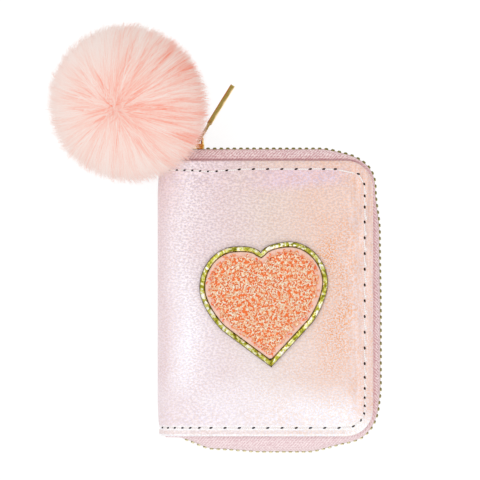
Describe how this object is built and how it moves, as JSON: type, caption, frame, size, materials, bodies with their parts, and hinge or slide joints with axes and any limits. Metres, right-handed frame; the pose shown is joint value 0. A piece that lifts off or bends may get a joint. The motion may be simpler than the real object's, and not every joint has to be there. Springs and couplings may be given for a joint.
{
  "type": "zip-around wallet",
  "caption": "Small zip-around wallet in iridescent coated cloth with a chenille heart patch, gold zip and a fur pom-pom hung from the slider.",
  "frame": {"origin": "centre of the back cover's underside, on the table the wallet lies on", "axes": "+Z through the wallet's thickness towards the front cover, +X from the spine to the opening edge, +Y up the wallet"},
  "size_m": [0.1334, 0.172, 0.0515],
  "materials": {
    "skin": "iridescent coated cloth, fine grain, satin gloss",
    "foam": "thin padding foam",
    "board": "plain grey-brown board",
    "lining": "woven lining",
    "tape": "woven zip tape, dusty pink",
    "zip_metal": "polished gold colour",
    "file": "smooth coated sheet",
    "film": "clear film",
    "felt": "satin backing cloth",
    "glitter": "gold glitter border",
    "chenille": "curly chenille yarn, peach",
    "strap": "coated strap",
    "core": "stuffed cloth ball",
    "fur": "long faux fur, pale pink tips on salmon roots"
  },
  "bodies": {
    "back_half": {"back_skin": "skin", "back_foam": "foam", "back_board": "board", "back_lining": "lining", "zip_tape_back": "tape", "zip_teeth_back": "zip_metal", "file_base": "file", "file_gusset_1": "file"},
    "file_leaf_1": {"file_leaf_1": "file", "file_gusset_2": "file"},
    "file_leaf_2": {"file_leaf_2": "file", "file_gusset_3": "file"},
    "file_leaf_3": {"file_leaf_3": "file", "file_gusset_4": "file"},
    "file_leaf_4": {"file_leaf_4": "file"},
    "spine": {"spine_skin": "skin", "spine_board": "board", "spine_lining": "lining"},
    "front_half": {"front_skin": "skin", "front_foam": "foam", "front_board": "board", "front_lining": "lining", "zip_tape_front": "tape", "zip_teeth_front": "zip_metal", "id_pocket": "file", "id_window": "film", "heart_felt": "felt", "heart_border": "glitter", "heart_pad": "chenille"},
    "slider": {"zip_slider": "zip_metal"},
    "pull_tab": {"pull_tab": "zip_metal"},
    "pom_ring": {"jump_ring": "zip_metal"},
    "pom": {"pom_strap": "strap", "pom_core": "core", "pom_fur": "fur"}
  },
  "joints": [
    {"name": "spine_fold", "type": "hinge", "parent": "back_half", "child": "spine", "pos_m": [-0.04115, 0, 0.00205], "axis": [0, -1, 0], "range_deg": [0, 90]},
    {"name": "cover_fold", "type": "hinge", "parent": "spine", "child": "front_half", "pos_m": [-0.04115, 0, 0.02195], "axis": [0, -1, 0], "range_deg": [0, 90]},
    {"name": "file_hinge_1", "type": "hinge", "parent": "back_half", "child": "file_leaf_1", "pos_m": [-0.036, 0, 0.00725], "axis": [0, -1, 0], "range_deg": [0, 6], "deforming": ["file_gusset_1"]},
    {"name": "file_hinge_2", "type": "hinge", "parent": "file_leaf_1", "child": "file_leaf_2", "pos_m": [-0.036, 0, 0.00925], "axis": [0, -1, 0], "range_deg": [0, 6], "deforming": ["file_gusset_2"]},
    {"name": "file_hinge_3", "type": "hinge", "parent": "file_leaf_2", "child": "file_leaf_3", "pos_m": [-0.036, 0, 0.01125], "axis": [0, -1, 0], "range_deg": [0, 6], "deforming": ["file_gusset_3"]},
    {"name": "file_hinge_4", "type": "hinge", "parent": "file_leaf_3", "child": "file_leaf_4", "pos_m": [-0.036, 0, 0.01325], "axis": [0, -1, 0], "range_deg": [0, 6], "deforming": ["file_gusset_4"]},
    {"name": "zip_slide", "type": "slide", "parent": "back_half", "child": "slider", "axis": [1, 0, 0], "range_m": [0, 0.045], "deforming": ["zip_teeth_back", "zip_teeth_front"]},
    {"name": "tab_swing", "type": "hinge", "parent": "slider", "child": "pull_tab", "pos_m": [-0.0268, 0.0632, 0.012], "axis": [0, 0, 1], "range_deg": [-56, 45]},
    {"name": "ring_swing", "type": "hinge", "parent": "slider", "child": "pom_ring", "pos_m": [-0.0308, 0.0632, 0.012], "axis": [0, 0, 1], "range_deg": [-60, 0]},
    {"name": "pom_lift", "type": "hinge", "parent": "pom_ring", "child": "pom", "pos_m": [-0.03419, 0.06533, 0.012], "axis": [0.5322, 0.8466, 0], "range_deg": [0, 60], "deforming": ["pom_fur"]}
  ],
  "couplings": [
    {"joint": "cover_fold", "follows": "spine_fold", "ratio": 1},
    {"joint": "file_hinge_1", "follows": "spine_fold", "ratio": 0.0666},
    {"joint": "file_hinge_2", "follows": "spine_fold", "ratio": 0.0666},
    {"joint": "file_hinge_3", "follows": "spine_fold", "ratio": 0.0666},
    {"joint": "file_hinge_4", "follows": "spine_fold", "ratio": 0.0666}
  ]
}
